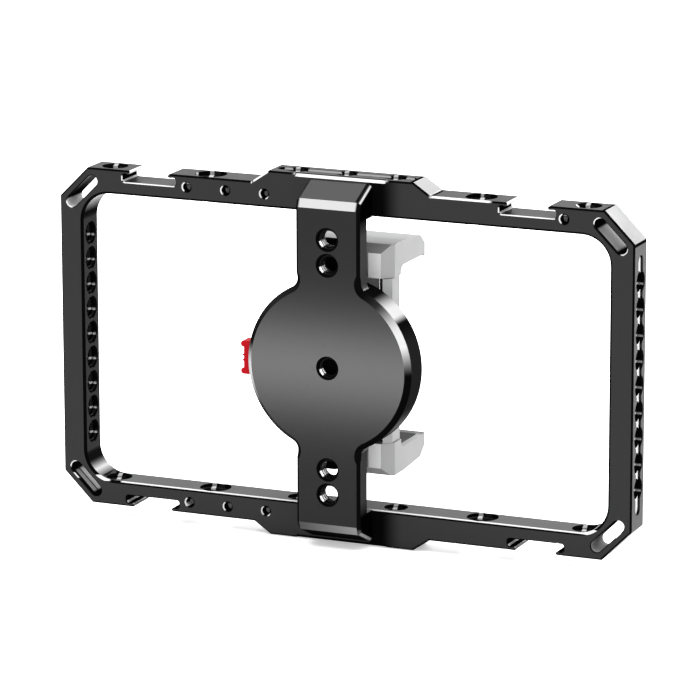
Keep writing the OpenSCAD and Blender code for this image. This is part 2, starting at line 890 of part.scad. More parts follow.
// A compression spring standing on z = 0
module coil(r, wire, length, turns) {
    n = turns * rings_per_turn;
    points = [for (k = [0 : n], j = [0 : coil_sides - 1]) coil_point(r, wire, length, turns, k, j)];
    sides = [for (k = [0 : n - 1], j = [0 : coil_sides - 1], half = [0, 1]) let (
        a = k * coil_sides + j,
        b = k * coil_sides + (j + 1) % coil_sides
    ) half == 0 ? [a, a + coil_sides, b] : [b, a + coil_sides, b + coil_sides]];
    ends = [
        [for (j = [0 : coil_sides - 1]) j],
        [for (j = [coil_sides - 1 : -1 : 0]) n * coil_sides + j]
    ];
    polyhedron(points, concat(sides, ends));
}

module latch_springs() {
    tail_x = latch_outer_r + latch_tail_out - button_travel;
    color([0.8, 0.8, 0.8]) raised() for (s = [-1, 1]) {
        translate([tail_x, latch_y, s * latch_spring_z]) rotate([0, 90, 0]) {
            coil(latch_spring_r, latch_wire_r, latch_spring_len, latch_spring_turns);
        }
    }
}

module at_housing_screws() {
    for (i = [-1 : 1]) {
        translate([0, 0, i * housing_screw_z]) children();
    }
}

// Spigot and flange in one turned piece: radius along X, distance behind the spigot's end along Y
module swivel_base() {
    end_y = front_y - socket_depth + spigot_end_gap;
    groove_from = latch_y - latch_t / 2 - groove_play - end_y;
    groove_to = latch_y + latch_t / 2 + groove_play - end_y;
    color([0.55, 0.55, 0.56]) raised() difference() {
        translate([0, end_y, 0]) rotate([-90, 0, 0]) rotate_extrude() polygon([
            [0, 0],
            [spigot_r, 0],
            [spigot_r, groove_from],
            [groove_r, groove_from],
            [groove_r, groove_to],
            [spigot_r, groove_to],
            [spigot_r, flange_y - end_y],
            [flange_r, flange_y - end_y],
            [flange_r, housing_y - end_y],
            [0, housing_y - end_y]
        ]);
        at_housing_screws() {
            y_rod(housing_screw_r + pin_slip, housing_y - housing_screw_bite - slip,
                housing_y + over);
        }
    }
}

module rod_bores(x, z_side) {
    for (s = [-1, 1]) {
        translate([s * x, rod_y, 0]) mirror([0, 0, z_side > 0 ? 0 : 1]) {
            translate([0, 0, -block_half - over]) {
                cylinder(h = 2 * (block_half + over), r = rod_r + rod_fit);
                cylinder(h = 2 * block_half - guide_t + over, r = spring_bore_r);
            }
        }
    }
}

module clamp_housing() {
    notch_w = housing_w - 2 * cheek_t;
    web_y = housing_back_y - web_t;
    color([0.8, 0.8, 0.81]) raised() difference() {
        translate([0, 0, -housing_half]) linear_extrude(2 * housing_half) polygon([
            [-housing_w / 2 + cheek_bevel, housing_y],
            [housing_w / 2 - cheek_bevel, housing_y],
            [housing_w / 2, housing_y + cheek_bevel],
            [housing_w / 2, housing_back_y],
            [-housing_w / 2, housing_back_y],
            [-housing_w / 2, housing_y + cheek_bevel]
        ]);
        for (s = [-1, 1]) {
            translate([-notch_w / 2, housing_y - over, s > 0 ? block_half : -housing_half - over]) {
                cube([notch_w, web_y - housing_y + over, housing_half - block_half + over]);
            }
        }
        rod_bores(upper_rod_x, 1);
        rod_bores(lower_rod_x, -1);
        at_housing_screws() {
            screw_seat(housing_screw_r, housing_screw_head_r, housing_back_y, housing_y - over);
        }
    }
}

module housing_screws() {
    color([0.5, 0.5, 0.5]) raised() at_housing_screws() difference() {
        flat_screw(
            housing_screw_r, housing_screw_head_r, housing_back_y,
            housing_y - housing_screw_bite
        );
        drive_pocket(housing_screw_r * 0.75, housing_back_y, housing_screw_r * 0.8);
    }
}

module back_pad() {
    color([0.25, 0.25, 0.26]) raised() {
        slab(housing_back_y, housing_back_y + pad_t) {
            square([back_pad_w, back_pad_h], center = true);
        }
    }
}

// Two springs of one jaw, between the guide wall and the clips on the rods' ends
module jaw_springs(x) {
    bottom = -rod_end + clip_t;
    color([0.8, 0.8, 0.8]) for (s = [-1, 1]) {
        translate([s * x, rod_y, bottom]) {
            coil(jaw_spring_r, jaw_wire_r, block_half - guide_t - bottom, jaw_spring_turns);
        }
    }
}

module upper_springs() {
    raised() jaw_springs(upper_rod_x);
}

module lower_springs() {
    raised() mirror([0, 0, 1]) jaw_springs(lower_rod_x);
}

// The plan of a jaw in X and Y: two faceted lobes in front, one broad arm behind
module jaw_plan() {
    outer = jaw_w / 2;
    polygon([
        [outer, jaw_front_y + jaw_facet],
        [outer, tip_y + over],
        [-outer, tip_y + over],
        [-outer, jaw_front_y + jaw_facet],
        [-outer + jaw_facet, jaw_front_y],
        [-outer + lobe_w - jaw_facet, jaw_front_y],
        [-outer + lobe_w, jaw_front_y + jaw_facet],
        [outer - lobe_w, jaw_front_y + jaw_facet],
        [outer - lobe_w + jaw_facet, jaw_front_y],
        [outer - jaw_facet, jaw_front_y]
    ]);
}

// A jaw from the side in Y and Z: body, hollow corner, grip face, lip and sloping back
module jaw_side() {
    shoulder_share = 0.12;
    tip_fall_share = 0.11;
    difference() {
        polygon([
            [jaw_front_y, jaw_in],
            [jaw_back_y, jaw_in],
            [jaw_back_y, grip_z - grip_fillet],
            [jaw_back_y + grip_fillet, grip_z - grip_fillet],
            [jaw_back_y + grip_fillet, grip_z],
            [tip_y - 2 * lip_h, grip_z],
            [tip_y - lip_h, grip_z - lip_h],
            [tip_y, grip_z - lip_h / 2],
            [tip_y, grip_z + tip_t],
            [tip_y - tip_t, jaw_out - jaw_h * tip_fall_share],
            [jaw_back_y + arm_reach * shoulder_share, jaw_out],
            [jaw_front_y + jaw_brow, jaw_out],
            [jaw_front_y, jaw_out - jaw_brow]
        ]);
        translate([jaw_back_y + grip_fillet, grip_z - grip_fillet]) circle(grip_fillet);
    }
}

module jaw(rod_x) {
    pad_from = jaw_back_y + grip_fillet;
    color([0.8, 0.8, 0.81]) difference() {
        intersection() {
            along_x(jaw_w) jaw_side();
            translate([0, 0, jaw_in - over]) linear_extrude(jaw_h + 2 * over) jaw_plan();
        }
        for (s = [-1, 1]) {
            translate([s * rod_x, rod_y, jaw_in - over]) {
                cylinder(h = rod_bite + over, r = rod_r + pin_slip);
            }
        }
        translate([-jaw_w / 2 + pad_margin, pad_from, grip_z - over]) {
            cube([jaw_w - 2 * pad_margin, tip_y - 2 * lip_h - pad_margin / 2 - pad_from,
                over + pad_recess]);
        }
    }
}

module jaw_rods(x) {
    color([0.86, 0.86, 0.87]) for (s = [-1, 1]) {
        translate([s * x, rod_y, -rod_end - clip_t]) {
            cylinder(h = rod_end + clip_t + jaw_in + rod_bite - slip, r = rod_r);
        }
    }
}

module jaw_clips(x) {
    color([0.3, 0.3, 0.3]) for (s = [-1, 1]) {
        translate([s * x, rod_y, -rod_end]) difference() {
            cylinder(h = clip_t, r = clip_r);
            translate([0, 0, -over]) cylinder(h = clip_t + 2 * over, r = rod_r + pin_slip);
        }
    }
}

module jaw_pad() {
    pad_from = jaw_back_y + grip_fillet;
    color([0.25, 0.25, 0.26]) {
        translate([-jaw_w / 2 + pad_margin + slip, pad_from + slip, grip_z + pad_recess - pad_t]) {
            cube([jaw_w - 2 * pad_margin - 2 * slip,
                tip_y - 2 * lip_h - pad_margin / 2 - pad_from - 2 * slip, pad_t]);
        }
    }
}

module upper_jaw() {
    raised() jaw(upper_rod_x);
}

module upper_rods() {
    raised() jaw_rods(upper_rod_x);
}

module upper_clips() {
    raised() jaw_clips(upper_rod_x);
}

module upper_pad() {
    raised() jaw_pad();
}

module lower_jaw() {
    raised() mirror([0, 0, 1]) jaw(lower_rod_x);
}

module lower_rods() {
    raised() mirror([0, 0, 1]) jaw_rods(lower_rod_x);
}

module lower_clips() {
    raised() mirror([0, 0, 1]) jaw_clips(lower_rod_x);
}

module lower_pad() {
    raised() mirror([0, 0, 1]) jaw_pad();
}

cage_frame();
bridge();
bridge_screws();
socket_cover();
cover_screws();
swivel_washer();
release_button();
latch_ring();
latch_pins();
latch_springs();
swivel_base();
clamp_housing();
housing_screws();
back_pad();
upper_springs();
lower_springs();
upper_jaw();
upper_rods();
upper_clips();
upper_pad();
lower_jaw();
lower_rods();
lower_clips();
lower_pad();
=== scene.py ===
import math

import bmesh
import bpy
from mathutils import Matrix, Vector


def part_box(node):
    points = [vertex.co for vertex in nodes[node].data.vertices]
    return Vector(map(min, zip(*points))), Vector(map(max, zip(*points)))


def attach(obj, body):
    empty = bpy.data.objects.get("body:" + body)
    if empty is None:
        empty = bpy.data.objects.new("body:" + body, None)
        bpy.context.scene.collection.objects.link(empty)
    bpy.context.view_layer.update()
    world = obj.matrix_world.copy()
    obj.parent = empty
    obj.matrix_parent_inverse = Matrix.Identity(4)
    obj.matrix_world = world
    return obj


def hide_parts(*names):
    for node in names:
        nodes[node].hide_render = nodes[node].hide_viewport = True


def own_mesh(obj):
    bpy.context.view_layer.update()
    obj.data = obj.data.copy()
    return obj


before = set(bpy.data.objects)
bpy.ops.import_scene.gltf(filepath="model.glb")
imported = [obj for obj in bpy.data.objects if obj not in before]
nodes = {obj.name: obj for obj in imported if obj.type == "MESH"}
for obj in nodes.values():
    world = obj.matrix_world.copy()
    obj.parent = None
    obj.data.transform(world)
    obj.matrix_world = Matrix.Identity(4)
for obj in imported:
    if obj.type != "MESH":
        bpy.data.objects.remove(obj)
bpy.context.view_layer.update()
MM = 0.001

# Faces of the cage, in millimetres about the window's centre
HUMP_Z = 57.65
RAIL_Z = 53.95
WINDOW_Z = 46.05
WINDOW_X = 87.4
SIDE_X = 95.2
FRAME_Y = -5.5
DISC_Y = -15.6

# Bores, pins, shoes and slots of the frame
CORNER_BORE_X = 78.5
HUMP_BORE_X = 16.25
LARGE_BORE_X = 45.0
UPPER_LARGE_X = (-45.6, 44.1)
SIDE_PITCH = 8.0
SIDE_COUNT = 9
PIN_Z = 50.3
PIN_X = -38.4
PIN_PITCH = 13.1
LONE_PIN_X = 72.75
SHOE_X = (48.5, 79.0)
SLOT_ACROSS = 94.6
SLOT_REACH = 2.3
SLOT_ALONG = 29.17
SLOT_HALF = 7.2
ARC_HEIGHT = 9.2
HALF_ROOT = math.sqrt(0.5)

# Bores of the bridge and its disc
STRAP_BORES = (-40, -32, 32, 40)
DISC_R = 27.1
DISC_CHAMFER = 1.9

# Radius and pitch of the two thread sizes
QUARTER_INCH = (3.175, 1.27)
THREE_EIGHTHS = (4.7625, 1.5875)

# Limits on a face's normal: walls square to the front, chamfers, faces that are nearly flat
SQUARE = 0.1
SLOPE_LOW = 0.45
SLOPE_HIGH = 0.93
FLAT = 0.98

# Softness of a mask's edge, on a normal or where a face ends sharply
CRISP = 0.02
FINE = 0.005

# The photograph's camera: angles, place in metres, and its picture measured in pixels
AZIMUTH = math.radians(23.3822)
ELEVATION = math.radians(13.6223)
ROLL = math.radians(-0.1349)
EYE = Vector((0.55934, -1.29917, 0.39920))
PHOTO_PX = 700.0
FOCAL_PX = 4732.7
SHIFT_X_PX = 9.673
SHIFT_Y_PX = 11.234
SENSOR_MM = 36.0

# Painted shade: near-black reflectances painted where bores, slots, chamfers and hollows lie in shade; and
# how much light the studio gives
PAINTED_BORE_SHADE = (0.0015,) * 3
PAINTED_DEEP_SHADE = (0.002,) * 3
STUDIO = 2.05


def mm(x, y, z):
    """A point given in millimetres about the window's centre, in the shared frame."""
    return Vector((x * MM, y * MM, (z + HUMP_Z) * MM))


def linear(tone):
    """The reflectance that the studio light shows as this screen value."""
    c = tone / 255
    return (c / 12.92 if c <= 0.04045 else ((c + 0.055) / 1.055) ** 2.4) / STUDIO


def grey(tone):
    return (linear(tone),) * 3


def value(node, name, v):
    node.inputs[name].default_value = v


# Materials
class Shader:
    """A procedural material with its node tree."""

    def __init__(self, name):
        self.mat = bpy.data.materials.new(name)
        self.mat.use_nodes = True
        self.tree = self.mat.node_tree
        self.tree.nodes.clear()
        self.out = self.new("ShaderNodeOutputMaterial")
        self.bsdf = self.new("ShaderNodeBsdfPrincipled")
        self.link(self.bsdf.outputs[0], self.out.inputs[0])
        self.coord = self.new("ShaderNodeTexCoord").outputs["Object"]

    def new(self, kind, **props):
        n = self.tree.nodes.new(kind)
        for k, v in props.items():
            setattr(n, k, v)
        return n

    def link(self, a, b):
        self.tree.links.new(a, b)

    def paint(self, colour):
        self.link(colour, self.bsdf.inputs["Base Color"])

    def quieten(self, mask, level):
        """Takes the gloss away where the mask is 1."""
        self.link(self.ramp(mask, 0.0, 1.0, level, 0.0), self.bsdf.inputs["Specular IOR Level"])

    def noise(self, scale, detail, rough=0.5):
        n = self.new("ShaderNodeTexNoise")
        value(n, "Scale", scale)
        value(n, "Detail", detail)
        value(n, "Roughness", rough)
        self.link(self.coord, n.inputs["Vector"])
        return n.outputs["Fac"]

    def ramp(self, fac, low, high, out_low, out_high, smooth=False):
        n = self.new("ShaderNodeMapRange")
        if smooth:
            n.interpolation_type = "SMOOTHSTEP"
        for name, v in (("From Min", low), ("From Max", high), ("To Min", out_low), ("To Max", out_high)):
            value(n, name, v)
        self.link(fac, n.inputs["Value"])
        return n.outputs["Result"]

    def math(self, op, a, b=None):
        n = self.new("ShaderNodeMath", operation=op)
        for i, s in enumerate((a, b)):
            if s is None:
                continue
            if isinstance(s, (int, float)):
                n.inputs[i].default_value = s
            else:
                self.link(s, n.inputs[i])
        return n.outputs[0]

    def plus(self, a, b):
        return self.math("ADD", a, b)

    def minus(self, a, b):
        return self.math("SUBTRACT", a, b)

    def times(self, a, b):
        return self.math("MULTIPLY", a, b)

    def size(self, v):
        return self.math("ABSOLUTE", v)

    def reach(self, a, b):
        """The distance that a and b make together."""
        return self.math("SQRT", self.plus(self.times(a, a), self.times(b, b)))

    def mix(self, fac, a, b):
        n = self.new("ShaderNodeMix", data_type="RGBA")
        for i, s in ((0, fac), (6, a), (7, b)):
            if isinstance(s, (int, float)):
                n.inputs[i].default_value = s
            elif isinstance(s, tuple):
                n.inputs[i].default_value = (*s, 1.0)
            else:
                self.link(s, n.inputs[i])
        return n.outputs[2]

    def edge(self, radius):
        """The rounded normal, and how far it turns away from the face: 1 along edges."""
        b = self.new("ShaderNodeBevel", samples=6)
        value(b, "Radius", radius)
        g = self.new("ShaderNodeNewGeometry")
        d = self.new("ShaderNodeVectorMath", operation="DOT_PRODUCT")
        self.link(b.outputs[0], d.inputs[0])
        self.link(g.outputs["Normal"], d.inputs[1])
        return b.outputs[0], self.ramp(d.outputs["Value"], 0.995, 0.90, 0.0, 1.0)

    def part(self, vector, axis):
        n = self.new("ShaderNodeSeparateXYZ")
        self.link(vector, n.inputs[0])
        return n.outputs[axis]

    def about_window(self, vector, axis):
        c = self.times(self.part(vector, axis), 1 / MM)
        return self.minus(c, HUMP_Z) if axis == 2 else c

    def place(self, axis):
        """Object coordinate in millimetres about the window's centre."""
        return self.about_window(self.coord, axis)

    def standing(self, axis):
        """Like place, but on a piece that has moved it stays with the cage."""
        return self.about_window(self.new("ShaderNodeNewGeometry").outputs["Position"], axis)

    def facing(self, axis):
        """The face's own normal along one axis."""
        return self.part(self.new("ShaderNodeNewGeometry").outputs["True Normal"], axis)

    def above(self, v, limit, soft):
        """1 where v is over the limit, with a soft edge."""
        return self.ramp(v, limit - soft, limit + soft, 0.0, 1.0, True)

    def below(self, v, limit, soft):
        """1 where v is under the limit, with a soft edge."""
        return self.ramp(v, limit - soft, limit + soft, 1.0, 0.0, True)

    def within(self, v, low, high, soft, soft_end=None):
        """1 where v lies between low and high, with soft ends."""
        return self.times(self.above(v, low, soft), self.below(v, high, soft_end or soft))

    def bell(self, v, centre, width):
        """A soft highlight: 1 at its centre, fading out over a few widths."""
        share = self.times(self.minus(v, centre), 1 / width)
        return self.math("EXPONENT", self.times(self.times(share, share), -1.0))

    def swell(self, v, low, high, power=2.0):
        """Grows from 0 at low to 1 at high, slowly at first."""
        return self.math("POWER", self.ramp(v, low, high, 0.0, 1.0), power)

    def gap(self, v, at):
        return self.size(self.minus(v, at))

    def least(self, *values):
        out = values[0]
        for v in values[1:]:
            out = self.math("MINIMUM", out, v)
        return out

    def wrap(self, v, pitch):
        """How far v lies from the nearest whole number of pitches."""
        n = self.new("ShaderNodeMath", operation="WRAP")
        self.link(v, n.inputs[0])
        n.inputs[1].default_value = pitch / 2
        n.inputs[2].default_value = -pitch / 2
        return n.outputs[0]

    def disc(self, a, b, radius):
        """1 inside a circle of this radius."""
        return self.ramp(self.reach(a, b), radius - 0.03, radius + 0.03, 1.0, 0.0)

    def discs(self, x, z, places, radius):
        """1 inside circles of this radius in one column."""
        return self.disc(x, self.least(*[self.gap(z, at) for at in places]), radius)

    def all(self, *masks):
        out = masks[0]
        for m in masks[1:]:
            out = self.times(out, m)
        return out

    def any(self, *masks):
        out = masks[0]
        for m in masks[1:]:
            out = self.math("MAXIMUM", out, m)
        return out

    def without(self, mask):
        return self.minus(1.0, mask)

    def bump(self, height, strength, distance, normal=None):
        n = self.new("ShaderNodeBump")
        value(n, "Strength", strength)
        value(n, "Distance", distance)
        self.link(height, n.inputs["Height"])
        if normal is not None:
            self.link(normal, n.inputs["Normal"])
        return n.outputs[0]


class Spot:
    """Where a point of a surface lies, and which way its face looks."""

    def __init__(self, s):
        self.x, self.y, self.z = s.place(0), s.place(1), s.place(2)
        self.nx, self.ny, self.nz = s.facing(0), s.facing(1), s.facing(2)
        self.ax, self.az = s.size(self.x), s.size(self.z)
        self.away, self.level = s.size(self.ny), s.size(self.nz)
        self.wall = s.below(self.away, SQUARE, CRISP)
        self.sloped = s.within(self.away, SLOPE_LOW, SLOPE_HIGH, CRISP)
        self.across = s.times(s.plus(self.ax, self.az), HALF_ROOT)
        self.along = s.minus(s.times(s.minus(self.ax, self.az), HALF_ROOT), SLOT_ALONG)


def finish_metal(name, base, rough, metallic=0.0, grain=0.12, edge_wear_and_glint=None, tint=1.25, level=0.5):
    """Blasted or turned metal: fine grain, uneven gloss, soft edges with a little wear; the lighter colour
    on the edges is also a painted highlight along them.
    """
    s = Shader(name)
    value(s.bsdf, "Metallic", metallic)
    value(s.bsdf, "Specular IOR Level", level)
    fine = s.noise(2600.0, 3.0)
    wide = s.noise(45.0, 3.0)
    cloud = s.noise(320.0, 4.0, 0.6)
    normal, edge = s.edge(0.12 * MM)
    s.link(s.bump(fine, grain, 0.00004, normal), s.bsdf.inputs["Normal"])
    uneven = s.plus(s.times(wide, 0.6), s.times(cloud, 0.4))
    s.link(s.ramp(uneven, 0.3, 0.7, rough - 0.05, rough + 0.05), s.bsdf.inputs["Roughness"])
    brighter = tuple(min(1.0, c * tint) for c in base)
    s.colour = s.mix(s.ramp(uneven, 0.35, 0.65, 0.0, 1.0), base, brighter)
    # Edges painted lighter: partly wear, partly a painted highlight along the edges.
    if edge_wear_and_glint:
        worn_and_glinting = s.times(edge, s.ramp(cloud, 0.40, 0.62, 0.25, 1.0))
        s.colour = s.mix(worn_and_glinting, s.colour, edge_wear_and_glint)
    s.paint(s.colour)
    return s


def rubber(name, base):
    s = Shader(name)
    value(s.bsdf, "Specular IOR Level", 0.35)
    fine = s.noise(1800.0, 4.0)
    wide = s.noise(120.0, 3.0)
    s.link(s.bump(fine, 0.35, 0.0001), s.bsdf.inputs["Normal"])
    s.link(s.ramp(wide, 0.3, 0.7, 0.62, 0.82), s.bsdf.inputs["Roughness"])
    lighter = tuple(c * 1.5 for c in base)
    s.paint(s.mix(s.ramp(fine, 0.3, 0.7, 0.0, 1.0), base, lighter))
    return s


# The frame's looks
def painted_bevel_highlights(s, p):
    """Painted reflection: chamfers along the front that are painted light where they would mirror a
    softbox.
    """
    window_break_x = (-79.5, -75.5)
    brow_x = 15.0
    right_run_x = (29.5, 49.0)
    left_slope_x = (-30.0, -24.0)
    shoe_floor_z = (49.6, 50.6)
    upward = s.all(s.within(p.ny, -SLOPE_HIGH, -SLOPE_LOW, CRISP), s.within(p.nz, 0.3, 0.9, CRISP),
                   s.below(p.y, FRAME_Y + 0.8, 0.05))
    lower_line = s.all(s.within(p.z, -WINDOW_Z - 0.35, -WINDOW_Z + 1.25, 0.06),
                       s.without(s.within(p.x, *window_break_x, 0.5)))
    brow = s.all(s.below(p.ax, brow_x, 1.2), s.above(p.z, HUMP_Z - 1.65, 0.1))
    right_run = s.all(s.within(p.x, *right_run_x, 0.8), s.above(p.z, RAIL_Z - 0.95, 0.1))
    left_slope = s.all(s.within(p.x, *left_slope_x, 0.3), s.within(p.nx, -0.8, -0.2, 0.05))
    shoe_floor = s.all(s.within(p.z, *shoe_floor_z, 0.1), s.within(p.nz, 0.6, 0.8, CRISP))
    return s.all(upward, s.any(lower_line, brow, right_run, left_slope, shoe_floor))


def painted_groove_highlights(s, p):
    """Painted highlights: the thin light lines painted in the grooves of the humps and the side rails."""
    hump_half = 22.5
    far_wall_y = (1.5, 2.4)
    hump = s.all(s.within(p.az, HUMP_Z - 0.75, HUMP_Z - 0.13, 0.05), s.below(p.ny, -0.95, FINE),
                 s.within(p.y, *far_wall_y, 0.1), s.below(p.ax, hump_half, 0.3))
    side = s.all(s.within(p.ax, SIDE_X - 1.2, SIDE_X - 0.4, 0.1), s.above(p.nx, 0.99, FINE))
    return s.any(hump, side)


def frame_bores(s, p):
    """The accessory bores and their sinks, in the long rails and in the side rails."""
    small_r, large_r, side_r = 4.2, 5.8, 3.85
    row_half = (SIDE_COUNT // 2 + 0.5) * SIDE_PITCH
    near = s.least(s.gap(p.ax, CORNER_BORE_X), s.gap(p.ax, HUMP_BORE_X), p.ax)
    mouths = s.any(s.disc(near, p.y, small_r), s.disc(s.gap(p.ax, LARGE_BORE_X), p.y, large_r))
    rails = s.all(mouths, s.within(p.az, WINDOW_Z - 0.05, HUMP_Z - 0.05, 0.05), s.below(p.away, FLAT, FINE),
                  s.below(p.level, FLAT, 0.01))
    row = s.size(s.wrap(p.z, SIDE_PITCH))
    sides = s.all(s.disc(row, p.y, side_r), s.below(p.az, row_half, 0.1),
                  s.within(p.ax, WINDOW_X - 0.1, SIDE_X - 0.1, 0.05), s.below(s.size(p.nx), FLAT, 0.01))
    return s.any(rails, sides)


def painted_bore_dash(s, p):
    """A painted highlight: a dash of light painted down the far side of every bore in the frame."""
    aside, aside_left_large = 1.3, 1.7
    bores = (-CORNER_BORE_X, -HUMP_BORE_X, 0.0, HUMP_BORE_X, UPPER_LARGE_X[1], CORNER_BORE_X)
    places = [x - aside for x in bores] + [UPPER_LARGE_X[0] - aside_left_large]
    near = s.least(*[s.gap(p.x, at) for at in places])
    rails = s.all(s.above(p.az, WINDOW_Z - 1.0, 0.2), s.below(near, 0.6, 0.1), s.above(p.y, 0.5, 0.1))
    sides = s.all(s.above(p.ax, WINDOW_X - 0.4, 0.2), s.within(s.wrap(p.z, SIDE_PITCH), -1.4, -0.8, 0.12),
                  s.within(p.y, 1.2, 3.0, 0.3))
    return s.any(rails, sides)


def blind_pins(s, p):
    """Masks for the small blind holes, which the frame paints in shade, and for the highlights painted on
    them: a crescent on the sink and a glint on the drill's cone.
    """
    radius = 1.8
    row_x = (-55.0, -20.0)
    lone = s.ramp(p.x, 0.0, 1.0, 0.0, 1.0)
    in_row = s.wrap(s.minus(p.x, PIN_X), PIN_PITCH)
    dx = s.plus(s.times(in_row, s.without(lone)), s.times(s.minus(p.x, LONE_PIN_X), lone))
    dz = s.minus(p.z, s.times(s.math("SIGN", p.z), PIN_Z))
    column = s.any(s.within(p.x, *row_x, 0.5), s.within(p.x, LONE_PIN_X - 2.25, LONE_PIN_X + 2.25, 0.1))
    pin = s.all(s.disc(dx, dz, radius), column, s.within(p.y, FRAME_Y + 0.02, 0.0, 0.01))
    crescent = s.all(pin, s.within(p.ny, -0.8, -0.6, CRISP), s.below(dx, -0.9, 0.3),
                     s.below(s.size(dz), 1.4, 0.3))
    glint = s.all(pin, s.within(p.ny, -0.95, -0.81, 0.01), s.within(dx, -1.2, -0.2, 0.25),
                  s.within(dz, -1.3, 0.1, 0.3))
    return pin, s.any(crescent, s.times(glint, 0.6))


def strap_slots(s, p):
    """The slots in the corner cuts: where they are, the shade and light painted on their walls, and the
    highlights painted at their ends.
    """
    middle_half, end_start = 4.4, 5.3
    lip_y, lit_y = -4.6, -4.0
    dark_line_y = (-1.55, -0.95)
    glint_along = (5.7, 6.9)
    slot = s.all(s.within(p.across, SLOT_ACROSS - SLOT_REACH, SLOT_ACROSS + SLOT_REACH, 0.05),
                 s.below(s.size(p.along), SLOT_HALF, 0.05), s.below(p.away, FLAT, FINE))
    falling = s.ramp(s.times(p.x, p.z), -1.0, 1.0, 0.0, 1.0)
    upper = s.ramp(p.z, -1.0, 1.0, 0.0, 1.0)
    middle = s.below(s.size(p.along), middle_half, 0.5)
    # Painted light and shade on the walls: near black in the middle and at the front lip, lighter towards
    # the back, or rising from dark to light along the slot with a painted glint near one end.
    back = s.ramp(p.y, lit_y, -FRAME_Y, 0.0, 1.0)
    lit_upper = s.mix(s.ramp(p.y, lip_y, lit_y, 0.0, 1.0), grey(25), s.mix(back, grey(205), grey(245)))
    pale = s.mix(s.ramp(p.y, -1.7, -0.8, 0.0, 1.0), grey(220), grey(255))
    line = s.all(s.above(p.y, -3.75, 0.25), s.without(s.within(p.y, *dark_line_y, 0.12)))
    lit_lower = s.mix(line, PAINTED_DEEP_SHADE, pale)
    rising = s.mix(s.swell(p.along, 4.0, -SLOT_HALF), grey(20), grey(190))
    rising = s.mix(s.within(p.along, *glint_along, 0.35), rising, grey(235))
    crossing = s.mix(upper, s.mix(middle, PAINTED_DEEP_SHADE, lit_lower), s.mix(middle, PAINTED_DEEP_SHADE, lit_upper))
    ends = s.all(s.above(s.size(p.along), end_start, 0.3), s.below(p.ny, 0.0, CRISP),
                 s.within(p.across, SLOT_ACROSS - 1.4, SLOT_ACROSS + 1.4, 0.3))
    light = s.all(slot, p.sloped, ends, s.any(s.all(falling, upper), s.above(p.along, 4.0, 0.2)))
    return slot, s.mix(falling, rising, crossing), light


def hollow_corners(s, p):
    """The window's hollow corners at the left, painted with a reflection of one softbox each and with shade
    beside it.
    """
    upper_start, upper_full = 2.4, 8.9
    peak_start, peak, peak_end = -3.7, -6.6, -8.9
    hollow = s.all(p.wall, s.above(p.nx, 0.02, 0.01), s.within(p.ax, 70.0, WINDOW_X + 0.2, 0.05),
                   s.below(p.x, 0.0, 0.5), s.below(p.across, SLOT_ACROSS - 3.0, 0.05),
                   s.below(p.az, WINDOW_Z + 0.15, 0.05))
    climb = s.math("MAXIMUM", s.minus(p.az, WINDOW_Z - ARC_HEIGHT), 0.0)
    past = s.times(climb, s.math("SIGN", p.z))
    lower = s.times(s.swell(past, peak_start, peak), s.swell(past, peak_end, peak, 1.5))
    tone = s.mix(s.bell(past, -0.25, 0.85), grey(20), grey(66))
    tone = s.mix(s.swell(past, upper_start, upper_full, 1.3), tone, grey(235))
    tone = s.mix(s.ramp(past, -8.7, -ARC_HEIGHT, 0.0, 1.0), tone, grey(60))
    tone = s.mix(lower, tone, grey(238))
    return hollow, tone


def shoe_lips(s, p):
    """The shade painted under the lips of the shoes, and the highlights painted on it and on the lips'
    noses and tips.
    """
    low_lip_z = (-53.2, -52.3)
    tip_z = (50.6, 52.2)
    along_shoe = s.within(p.ax, *SHOE_X, 0.3)
    under = s.all(s.within(p.az, PIN_Z + 0.05, RAIL_Z - 0.95, 0.08), along_shoe, p.wall)
    inside = s.all(s.within(p.z, *low_lip_z, 0.1), s.above(p.nz, 0.95, 0.01), along_shoe)
    hook = s.any(s.all(under, s.below(p.level, 0.95, CRISP)), inside)
    lit_facing = s.all(s.within(p.nx, 0.35, SLOPE_HIGH, 0.05), s.within(p.nz, 0.35, SLOPE_HIGH, 0.05))
    nose = s.all(s.within(p.z, RAIL_Z - 1.25, RAIL_Z - 0.05, 0.05), s.above(p.nx, 0.3, 0.05),
                 along_shoe, p.wall)
    tip = s.all(s.within(p.ny, -SLOPE_HIGH, -0.3, CRISP), s.within(p.nx, 0.3, 0.9, 0.05),
                s.within(p.z, *tip_z, 0.1), along_shoe)
    return hook, s.any(s.all(hook, lit_facing), nose, tip)


def brinks(s, p, flat_top):
    """Narrow rims painted dark as shade where a flat face ends."""
    rail_right_x, rail_left_x = (84.5, 86.0), (29.4, 30.6)
    hump_x = (22.7, 24.2)
    side_z = (43.2, 44.6)
    rail = s.all(s.within(p.z, RAIL_Z - 0.45, RAIL_Z + 0.55, 0.1),
                 s.any(s.within(p.x, *rail_right_x, 0.25), s.within(p.x, *rail_left_x, 0.25)))
    hump = s.all(s.above(p.z, HUMP_Z - 1.65, 0.1), s.within(p.x, *hump_x, 0.25))
    side = s.all(s.above(p.nx, 0.99, 0.003), s.above(p.x, SIDE_X - 0.7, 0.1),
                 s.within(p.z, *side_z, 0.25))
    return s.any(s.all(flat_top, s.any(rail, hump)), side)


